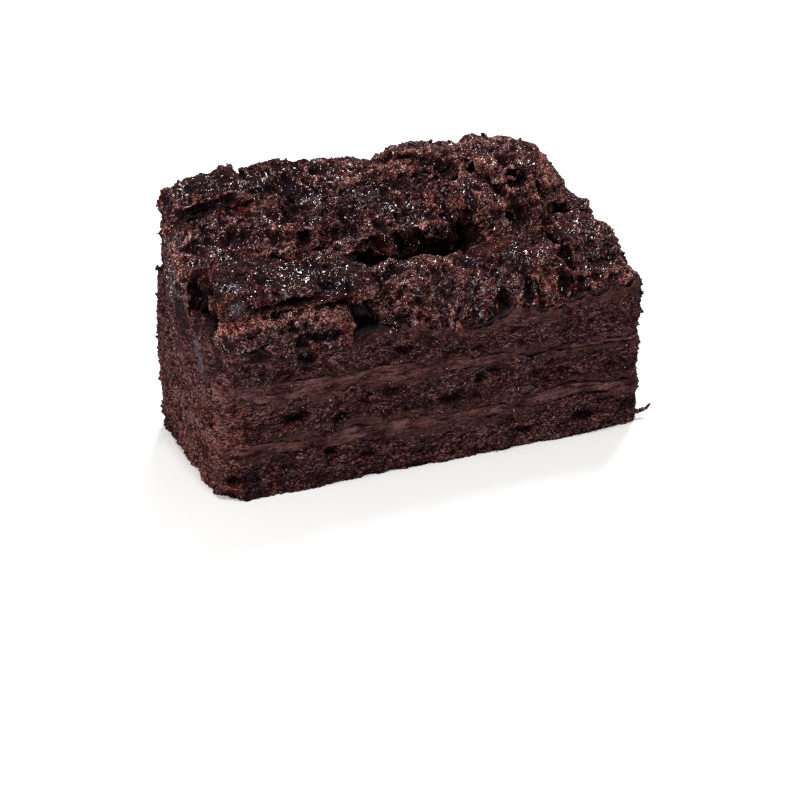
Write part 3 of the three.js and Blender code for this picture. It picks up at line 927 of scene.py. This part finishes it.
# Points around the slice's outline, with their outward directions. The middle of the corner circle
# moves along each side, and the direction turns at each corner.
def outline(step_length):
    half_x = LENGTH / 2 - CORNER_RADIUS
    half_y = WIDTH / 2 - CORNER_RADIUS
    arc = CORNER_RADIUS * math.pi / 2
    ends = np.cumsum([0.0] + [2 * half_x, arc, 2 * half_y, arc] * 2)
    count = int(round(ends[-1] / step_length))
    s = ends[-1] * np.arange(count) / count
    x = np.interp(s, ends, half_x * np.array([-1, 1, 1, 1, 1, -1, -1, -1, -1]))
    y = np.interp(s, ends, half_y * np.array([-1, -1, -1, 1, 1, 1, 1, -1, -1]))
    angle = np.interp(s, ends, math.pi / 2 * np.array([-1, -1, 0, 0, 1, 1, 2, 2, 3]))
    away = np.column_stack([np.cos(angle), np.sin(angle)])
    return np.column_stack([np.column_stack([x, y]) + CORNER_RADIUS * away, away])


# Faces of a closed band of rings, capped by fans to a middle row of points
def band_faces(count, rows, spine_x, ring_x):
    i = np.arange(count)
    after = (i + 1) % count
    quads = []
    for row in range(rows):
        low = row * count
        high = low + count
        quads.append(np.stack([low + i, low + after, high + after], axis=1))
        quads.append(np.stack([low + i, high + after, high + i], axis=1))
    low_spine = (rows + 1) * count
    high_spine = low_spine + len(spine_x)
    top = rows * count
    nearest = np.abs(ring_x[:, None] - spine_x[None, :]).argmin(axis=1)
    following = nearest[after]
    quads.append(np.stack([after, i, low_spine + nearest], axis=1))
    quads.append(np.stack([top + i, top + after, high_spine + nearest], axis=1))
    jump = nearest != following
    quads.append(np.stack([after, low_spine + nearest, low_spine + following], axis=1)[jump])
    quads.append(np.stack([top + after, high_spine + following, high_spine + nearest], axis=1)[jump])
    return np.concatenate(quads)


# A band's points with a row in the middle of its underside and top added, and the faces that close it
def closed_band(points, rows, spots, low, high):
    spine_x = np.linspace(-SPINE_END, SPINE_END, SPINE_COUNT)
    zeros = np.zeros(SPINE_COUNT)
    rings = [points] + [np.column_stack([spine_x, zeros, height(spine_x)]) for height in (low, high)]
    return np.concatenate(rings), band_faces(len(spots), rows, spine_x, spots[:, 0])


# A band around the slice between two height functions, closed above and below. Relief is one of the
# side functions below, which all take the same values, and lip counts the rings that lead on over the top.
def band_piece(node, low, high, relief, material, slot, seed, lip=0):
    spots = outline(WALL_STEP)
    count = len(spots)
    middle = 0.5 * (high(0.0) - low(0.0) + high(-40.0) - low(-40.0))
    rows = max(4, int(round(middle / WALL_STEP)))
    rings = []
    for row in range(rows + 1):
        share = row / rows
        z = low(spots[:, 0]) * (1.0 - share) + high(spots[:, 0]) * share
        rings.append(np.column_stack([spots[:, 0], spots[:, 1], z]))
    for row in range(1, lip + 1):
        inner = spots[:, :2] - spots[:, 2:] * LIP_STEP * row
        rings.append(np.column_stack([inner, high(inner[:, 0])]))
    base = np.concatenate(rings)
    away = np.tile(spots[:, 2:], (rows + lip + 1, 1))
    share = np.repeat(np.minimum(np.arange(rows + lip + 1) / rows, 1.0), count)
    inside = np.repeat(np.maximum(np.arange(rows + lip + 1) - rows, 0) / max(lip, 1), count)
    push, lift, values = relief(base, share, away, seed, node)
    lift = np.where(inside > 0.0, (lift + 0.8 * push) * step(1.0, 0.25, inside), lift)
    push = push * step(0.5, 0.0, inside)
    moved = base.copy()
    moved[:, :2] += away * push[:, None]
    moved[:, 2] += lift
    moved, faces = closed_band(moved, rows + lip, spots, low, high)
    caps = np.zeros(len(moved) - len(base))
    values = {key: np.concatenate([numbers, caps]) for key, numbers in values.items()}
    values["red"] = spot_share(moved, "red")
    draw = np.zeros(len(moved))
    is_cake = slot == "cake_crumb"
    draw[: len(base)] = 0.9 if is_cake else 0.45 + step(-30.0, -48.0, base[:, 0])
    surfaces.append((moved + SHIFT, faces, draw * (1.0 - values["film"])))
    name = node + ("_crumb" if is_cake else "_cut")
    return make_piece(name, moved + SHIFT, faces, values, material, node)


# Cut side of a cake layer: porous crumb with ragged upper and lower edges that fudge is dragged over
def cake_side(base, share, away, seed, node):
    normals = np.column_stack([away, np.zeros(len(away))])
    uneven = 0.6 * smooth_noise(base, 9.0, seed) + 0.35 * smooth_noise(base, 3.4, seed + 1)
    edge = np.abs(share - 0.5) * 2.0
    broken = smooth_noise(base * np.array([0.22, 0.22, 1.0]), 1.7, seed + 12)
    dragged = step(0.45, 1.0, edge + 0.35 * broken) * step(-0.7, 0.3, smooth_noise(base, 6.0, seed + 14))
    dragged = dragged * step(1.0, 3.0, base[:, 2]) * step(-51.0, -46.0, base[:, 0])
    pores = pore_depth(base, 2.2, 1.25) * (1.0 - 0.6 * dragged)
    hollows = hollow_depth(base, node)
    grains, tag = grain_relief(base)
    film = spot_share(base, "film")
    grains = grains * (1.0 - 0.7 * film) * (1.0 - 0.6 * dragged)
    push = np.clip(uneven + grains - pores, -2.6, 1.0) - hollows + 0.2 - 0.1 * dragged
    ragged = 0.85 * smooth_noise(base, 2.4, seed + 5) + 0.55 * smooth_noise(base, 1.0, seed + 6)
    closing = 0.15 + 1.5 * step(-43.0, -50.5, base[:, 0]) + 0.35 * smooth_noise(base, 7.0, seed + 8)
    closing = closing - 0.5 * step(18.0, 34.0, base[:, 0])
    ragged = ragged * (1.0 - 0.4 * step(-10.0, 20.0, base[:, 0]))
    lift = (closing + ragged) * step(0.3, 1.0, edge) * np.sign(share - 0.5)
    lift = lift * step(0.0, 6.0, base[:, 2])
    # grain tips lighter as painted highlight, pores and hollows darker as painted shade, lighter where the
    # side bulges out, and the listed painted highlights and shade
    tint = crumb_tint(grains, tag, pores, hollows) + 0.2 * uneven + tint_spots(base) + 0.26
    values = {"tint": tint, "glaze": glaze_share(base, normals), "film": film, "dragged": dragged}
    values["rust"] = 0.4 * spot_share(base, "warm")
    return push, lift, values


# Cut side of the top cake layer, its crumbs hanging over the glaze above
def top_side(base, share, away, seed, node):
    push, lift, values = cake_side(base, share, away, seed, node)
    hanging = 1.3 + 0.7 * smooth_noise(base, 1.5, seed + 8)
    lift = lift + hanging * step(0.5, 1.0, share)
    return push, lift, values


# Cut side of a fudge filling: smooth, dragged along the slice, slightly hollow with caught crumbs
def fudge_side(base, share, away, seed, node):
    drag = smooth_noise(base * np.array([0.14, 0.14, 1.0]), 0.8, seed)
    fine_drag = smooth_noise(base * np.array([0.1, 0.1, 1.0]), 0.45, seed + 7)
    uneven = 0.4 * smooth_noise(base, 8.0, seed + 1) + 0.25 * smooth_noise(base, 2.4, seed + 2)
    push = uneven + 0.2 * drag + 0.1 * fine_drag - 0.1
    tint = 0.45 * drag + 0.3 * fine_drag + 0.35 * smooth_noise(base, 3.0, seed + 4)
    # the listed painted highlights and painted shade
    tint = tint + tint_spots(base)
    return push, np.zeros(len(base)), {"tint": tint, "film": spot_share(base, "film")}


# The glaze bed: a wet band at the sides and a lumpy floor in the recesses between the chunks
def bed_piece(material):
    spots = outline(WALL_STEP)
    rings = []
    for row in range(BED_WALL_ROWS + 1):
        share = row / BED_WALL_ROWS
        low = top_layer_high(spots[:, 0]) + 0.1
        z = low * (1.0 - share) + bed_high(spots[:, 0]) * share
        rings.append(np.column_stack([spots[:, 0], spots[:, 1], z]))
    spine = np.clip(spots[:, 0], -SPINE_END, SPINE_END)
    for row in range(1, BED_ROWS):
        share = row / BED_ROWS
        x = spots[:, 0] * (1.0 - share) + spine * share
        y = spots[:, 1] * (1.0 - share)
        rings.append(np.column_stack([x, y, bed_high(x)]))
    base = np.concatenate(rings)
    rows = BED_WALL_ROWS + BED_ROWS - 1
    away = np.tile(spots[:, 2:], (rows + 1, 1))
    side = np.repeat(np.arange(rows + 1) <= BED_WALL_ROWS, len(spots)).astype(float)
    wave = 0.35 * smooth_noise(base, 5.0, 70) + 0.3 * smooth_noise(base, 2.2, 71)
    lumps, tag = cell_noise(base, 2.0, 72)
    crumbs = step(0.55, 0.12, lumps) * step(0.35, 0.5, tag)
    grains, tag = grain_relief(base)
    moved = base.copy()
    set_back = 0.9 + 1.6 * step(-43.0, -48.0, base[:, 0])
    moved[:, :2] += away * (side * (wave + 0.25 * crumbs - set_back))[:, None]
    moved[:, 2] += wave * 0.7 + (0.9 * crumbs + 0.8 * grains) * (1.0 - side)
    moved, faces = closed_band(moved, rows, spots, top_layer_high, bed_high)
    tint = 0.5 * smooth_noise(base * np.array([0.2, 0.2, 1.0]), 0.9, 73) + 0.3 * crumbs + side - 0.7
    tint = tint - 0.9 * step(-40.0, -46.0, base[:, 0])
    values = {"tint": np.concatenate([tint, np.zeros(len(moved) - len(base))])}
    return make_piece("glaze_bed_wet", moved + SHIFT, faces, values, material, "glaze_bed")


# Places on the finished surfaces with their outward directions, open to the air
def scatter(count, rng):
    solids = solids_but(None)
    corners = []
    for points, faces, draw in surfaces:
        triangle = points[faces]
        cross = np.cross(triangle[:, 1] - triangle[:, 0], triangle[:, 2] - triangle[:, 0])
        weight = np.linalg.norm(cross, axis=1) * draw[faces].mean(axis=1)
        weight = weight * (triangle[:, :, 2].mean(axis=1) > 0.7)
        corners.append(np.column_stack([triangle.reshape(-1, 9), cross, weight]))
    table = np.concatenate(corners)
    chosen = table[rng.choice(len(table), count, p=table[:, 12] / table[:, 12].sum())]
    share = rng.dirichlet((1.0, 1.0, 1.0), count)
    places = (chosen[:, :9].reshape(-1, 3, 3) * share[:, :, None]).sum(axis=1)
    outward = chosen[:, 9:12] / np.linalg.norm(chosen[:, 9:12], axis=1, keepdims=True)
    free = np.zeros(count, bool)
    for k, (place, away) in enumerate(zip(places.tolist(), outward.tolist())):
        start = Vector(place) + 0.6 * Vector(away)
        free[k] = solids.ray_cast(start, Vector(away), 4.0)[0] is None
    return places[free], outward[free]


# Points and faces of many small broken grains, turned and dented at random
def broken_grains(places, sizes, base_points, base_faces, rng):
    count = len(places)
    draws = rng.normal(size=(4, count))
    w, x, y, z = draws / np.sqrt((draws * draws).sum(axis=0))
    turn = np.array([
        [1 - 2 * (y * y + z * z), 2 * (x * y - z * w), 2 * (x * z + y * w)],
        [2 * (x * y + z * w), 1 - 2 * (x * x + z * z), 2 * (y * z - x * w)],
        [2 * (x * z - y * w), 2 * (y * z + x * w), 1 - 2 * (x * x + y * y)],
    ])
    shapes = base_points[None] * rng.uniform(0.6, 1.25, (count, len(base_points), 1))
    shapes = shapes * rng.uniform(0.55, 1.0, (count, 1, 3))
    turned = np.einsum("ijn,nvj->nvi", turn, shapes)
    points = turned * (0.5 * sizes)[:, None, None] + places[:, None]
    faces = base_faces[None] + len(base_points) * np.arange(count)[:, None, None]
    return points.reshape(-1, 3), faces.reshape(-1, 3)


# Points and faces of a round 20-sided grain
def round_grain():
    shape = bmesh.new()
    bmesh.ops.create_icosphere(shape, subdivisions=1, radius=1.0)
    points = np.array([v.co[:] for v in shape.verts])
    faces = np.array([[v.index for v in f.verts] for f in shape.faces])
    shape.free()
    return points, faces


# Loose crumbs of one kind over the whole slice, sunk a little into the surface, and a few at given places
def crumbs_piece(name, material, count, smallest, largest, base, seed, placed=()):
    rng = np.random.default_rng(seed)
    places, outward = scatter(count, rng)
    sizes = smallest + (largest - smallest) * rng.random(len(places)) ** 2
    if placed:
        extra = np.array(placed)
        places = np.concatenate([places, extra[:, :3] + SHIFT])
        outward = np.concatenate([outward, np.tile((0.0, 0.0, 1.0), (len(extra), 1))])
        sizes = np.concatenate([sizes, extra[:, 3]])
    places = places + outward * (0.18 * sizes)[:, None]
    points, faces = broken_grains(places, sizes, base[0], base[1], rng)
    points[:, 2] = np.maximum(points[:, 2], 0.0)
    each = len(base[0])
    tint = np.repeat(rng.uniform(-0.5, 0.9, len(places)), each)
    glaze = np.repeat(glaze_share(places - SHIFT, outward), each)
    values = {"tint": tint, "glaze": glaze}
    return make_piece(name, points, faces, values, material, None, smooth=False)


# A camera or light that looks at a target from an azimuth, an elevation and a distance
def place_around(name, data, target, azimuth, elevation, distance):
    a = math.radians(azimuth)
    e = math.radians(elevation)
    back = Vector((math.sin(a) * math.cos(e), -math.cos(a) * math.cos(e), math.sin(e)))
    thing = bpy.data.objects.new(name, data)
    thing.location = Vector(target) + back * distance
    thing.rotation_mode = "QUATERNION"
    thing.rotation_quaternion = (-back).to_track_quat("-Z", "Y")
    bpy.context.scene.collection.objects.link(thing)
    return thing


# Camera at the photo's place
def add_camera():
    data = bpy.data.cameras.new("camera")
    data.lens = CAMERA_LENS
    data.sensor_width = 36.0
    data.clip_start = 0.01
    data.clip_end = 20.0
    target = (CAMERA_TARGET + SHIFT) * MM
    distance = CAMERA_DISTANCE * MM
    camera = place_around("camera", data, target, CAMERA_AZIMUTH, CAMERA_ELEVATION, distance)
    bpy.context.scene.camera = camera


# A soft square light that faces the slice
def add_light(name, azimuth, elevation, distance, size, power, colour):
    data = bpy.data.lights.new(name, "AREA")
    data.shape = "SQUARE"
    data.size = size
    data.energy = power
    data.color = colour
    place_around(name, data, (0.0, 0.0, 0.03), azimuth, elevation, distance)


# Pale floor under the slice
def add_floor():
    mesh = bpy.data.meshes.new("floor")
    reach = 4.0
    corners = [(-reach, -reach, 0.0), (reach, -reach, 0.0), (reach, reach, 0.0), (-reach, reach, 0.0)]
    mesh.from_pydata(corners, [], [(0, 1, 2, 3)])
    material, _, shader, _ = start_material("floor_pale")
    set_inputs(shader, {"Base Color": (0.79, 0.81, 0.83, 1.0), "Roughness": 0.45})
    mesh.materials.append(material)
    floor = bpy.data.objects.new("floor", mesh)
    bpy.context.scene.collection.objects.link(floor)


def add_world():
    world = bpy.data.worlds.new("studio")
    world.use_nodes = True
    background = world.node_tree.nodes["Background"]
    set_inputs(background, {"Color": (1.0, 1.0, 1.0, 1.0), "Strength": 0.3})
    bpy.context.scene.world = world


def build():
    crumb = crumb_material("cake_crumb", (1.0, 1.0, 1.0), 1.0, (0.46, 0.33, 0.3))
    cut = crumb_material("cake_crumb_cut", (0.36, 0.36, 1.15), 0.12, (0.19, 0.105, 0.096))
    fudge = fudge_material()
    glaze = glaze_material()
    chunks = sorted(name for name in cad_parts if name.startswith("chunk_"))
    all_solids = solids_but(None)
    for node in chunks:
        chunk_piece(node, crumb, all_solids)
    for node, low, high, relief, seed, lip in (
        ("cake_layer_bottom", floor_level, lower_fudge_low, cake_side, 11, 0),
        ("cake_layer_middle", lower_fudge_high, upper_fudge_low, cake_side, 23, 0),
        ("cake_layer_top", upper_fudge_high, top_layer_high, top_side, 35, LIP_ROWS),
    ):
        band_piece(node, low, high, relief, cut, "cake_crumb", seed, lip)
    for node, low, high, seed in (
        ("fudge_filling_lower", lower_fudge_low, lower_fudge_high, 47),
        ("fudge_filling_upper", upper_fudge_low, upper_fudge_high, 59),
    ):
        band_piece(node, low, high, fudge_side, fudge, "fudge", seed)
    bed_piece(glaze)
    small = (OCTAHEDRON_POINTS, OCTAHEDRON_FACES)
    crumbs_piece("crumbs_fine", crumb, 15000, 0.4, 0.9, small, 5)
    crumbs_piece("crumbs_coarse", crumb, 4500, 0.7, 1.4, round_grain(), 6, CORNER_CRUMBS)
    add_floor()
    add_world()
    add_camera()
    add_light("key", 145.0, 52.0, 1.3, 0.4, 18.0, (1.0, 0.985, 0.96))
    add_light("left", -80.0, 34.0, 1.2, 0.4, 13.0, (1.0, 0.94, 0.86))
    add_light("top", -10.0, 70.0, 1.2, 0.25, 8.0, (1.0, 0.99, 0.98))
    bpy.context.scene.view_settings.view_transform = "Standard"
    bpy.context.scene.view_settings.look = "None"
    bpy.context.scene.cycles.use_denoising = False


build()
